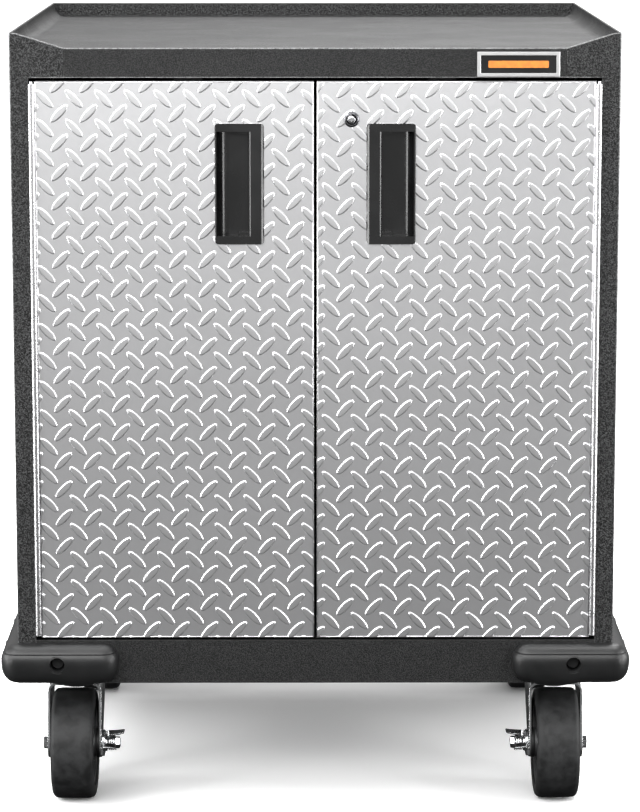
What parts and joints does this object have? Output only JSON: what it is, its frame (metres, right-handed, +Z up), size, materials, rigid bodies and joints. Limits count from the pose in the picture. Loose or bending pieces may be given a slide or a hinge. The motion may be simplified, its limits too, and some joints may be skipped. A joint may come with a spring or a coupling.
{
  "type": "rolling tool cabinet",
  "caption": "Rolling steel tool cabinet with a rimmed work top, hinged tread-plate doors with flush pulls, a cam lock, an inner shelf, corner bumpers and casters.",
  "frame": {"origin": "on the floor, under the middle of the cabinet", "axes": "+Z up, -Y out of the doors, +X to the right of someone facing the doors"},
  "size_m": [0.7112, 0.6352, 0.889],
  "materials": {
    "powder_coat": "coarse satin powder coat",
    "silver_coat": "satin silver coat over raised tread plate",
    "bright_zinc": "bright zinc plate",
    "dull_zinc": "satin zinc plate",
    "pull_plastic": "black moulded plastic",
    "bumper_plastic": "dark grey moulded rubbery plastic",
    "tyre": "dark grey rubber",
    "core_plastic": "grey moulded nylon",
    "black_parts": "black moulded plastic",
    "badge_metal": "satin silver",
    "badge_black": "gloss black",
    "lock_chrome": "polished"
  },
  "bodies": {
    "cabinet": {"left_side_panel": "powder_coat", "right_side_panel": "powder_coat", "back_panel": "powder_coat", "top_tray": "powder_coat", "front_top_rail": "powder_coat", "front_bottom_rail": "powder_coat", "bottom_pan": "powder_coat", "caster_channels": "powder_coat", "shelf_standards": "dull_zinc", "shelf_clips": "dull_zinc", "shelf": "powder_coat", "left_frame_hinge_leaf": "dull_zinc", "right_frame_hinge_leaf": "dull_zinc", "hinge_pins": "dull_zinc", "magnet_catches": "black_parts", "badge_frame": "badge_metal", "badge_plate": "badge_black", "front_left_bumper": "bumper_plastic", "front_right_bumper": "bumper_plastic", "rear_left_bumper": "bumper_plastic", "rear_right_bumper": "bumper_plastic", "bumper_screws": "dull_zinc", "caster_bolts": "dull_zinc", "front_left_caster_plate": "bright_zinc", "front_right_caster_plate": "bright_zinc", "rear_left_caster_fork": "bright_zinc", "rear_right_caster_fork": "bright_zinc", "rear_axles": "bright_zinc"},
    "left_door": {"left_door_skin": "silver_coat", "left_door_inner_panel": "powder_coat", "left_door_handle": "pull_plastic", "left_door_hinge_leaf": "dull_zinc", "left_strike_plate": "dull_zinc"},
    "right_door": {"right_door_skin": "silver_coat", "right_door_inner_panel": "powder_coat", "right_door_handle": "pull_plastic", "right_door_hinge_leaf": "dull_zinc", "right_strike_plate": "dull_zinc", "lock_housing": "lock_chrome", "lock_nut": "dull_zinc"},
    "lock": {"lock_plug": "lock_chrome", "lock_cam": "dull_zinc"},
    "front_left_swivel": {"front_left_yoke": "bright_zinc", "front_left_swivel_balls": "dull_zinc", "front_left_axle": "bright_zinc", "front_left_brake_disc": "black_parts"},
    "front_left_wheel": {"front_left_wheel_core": "core_plastic", "front_left_tyre": "tyre"},
    "front_left_brake": {"front_left_brake_lever": "bright_zinc"},
    "rear_left_wheel": {"rear_left_wheel_core": "core_plastic", "rear_left_tyre": "tyre"},
    "front_right_swivel": {"front_right_yoke": "bright_zinc", "front_right_swivel_balls": "dull_zinc", "front_right_axle": "bright_zinc", "front_right_brake_disc": "black_parts"},
    "front_right_wheel": {"front_right_wheel_core": "core_plastic", "front_right_tyre": "tyre"},
    "front_right_brake": {"front_right_brake_lever": "bright_zinc"},
    "rear_right_wheel": {"rear_right_wheel_core": "core_plastic", "rear_right_tyre": "tyre"}
  },
  "joints": [
    {"name": "left_door_hinge", "type": "hinge", "parent": "cabinet", "child": "left_door", "pos_m": [-0.3123, -0.3004, 0.52], "axis": [0, 0, -1], "range_deg": [0, 170]},
    {"name": "right_door_hinge", "type": "hinge", "parent": "cabinet", "child": "right_door", "pos_m": [0.3123, -0.3004, 0.52], "axis": [0, 0, 1], "range_deg": [0, 170]},
    {"name": "lock_turn", "type": "hinge", "parent": "right_door", "child": "lock", "pos_m": [0.0399, -0.298, 0.794], "axis": [0, -1, 0], "range_deg": [0, 90]},
    {"name": "front_left_swivel_turn", "type": "hinge", "parent": "cabinet", "child": "front_left_swivel", "pos_m": [-0.278, -0.191, 0.1435], "axis": [0, 0, 1], "continuous": true},
    {"name": "front_left_wheel_spin", "type": "hinge", "parent": "front_left_swivel", "child": "front_left_wheel", "pos_m": [-0.278, -0.229, 0.0635], "axis": [1, 0, 0], "continuous": true},
    {"name": "front_left_brake_press", "type": "hinge", "parent": "front_left_swivel", "child": "front_left_brake", "pos_m": [-0.278, -0.229, 0.0635], "axis": [1, 0, 0], "range_deg": [0, 25]},
    {"name": "front_right_swivel_turn", "type": "hinge", "parent": "cabinet", "child": "front_right_swivel", "pos_m": [0.278, -0.191, 0.1435], "axis": [0, 0, 1], "continuous": true},
    {"name": "front_right_wheel_spin", "type": "hinge", "parent": "front_right_swivel", "child": "front_right_wheel", "pos_m": [0.278, -0.229, 0.0635], "axis": [1, 0, 0], "continuous": true},
    {"name": "front_right_brake_press", "type": "hinge", "parent": "front_right_swivel", "child": "front_right_brake", "pos_m": [0.278, -0.229, 0.0635], "axis": [1, 0, 0], "range_deg": [0, 25]},
    {"name": "rear_left_wheel_spin", "type": "hinge", "parent": "cabinet", "child": "rear_left_wheel", "pos_m": [-0.278, 0.229, 0.0635], "axis": [1, 0, 0], "continuous": true},
    {"name": "rear_right_wheel_spin", "type": "hinge", "parent": "cabinet", "child": "rear_right_wheel", "pos_m": [0.278, 0.229, 0.0635], "axis": [1, 0, 0], "continuous": true}
  ]
}
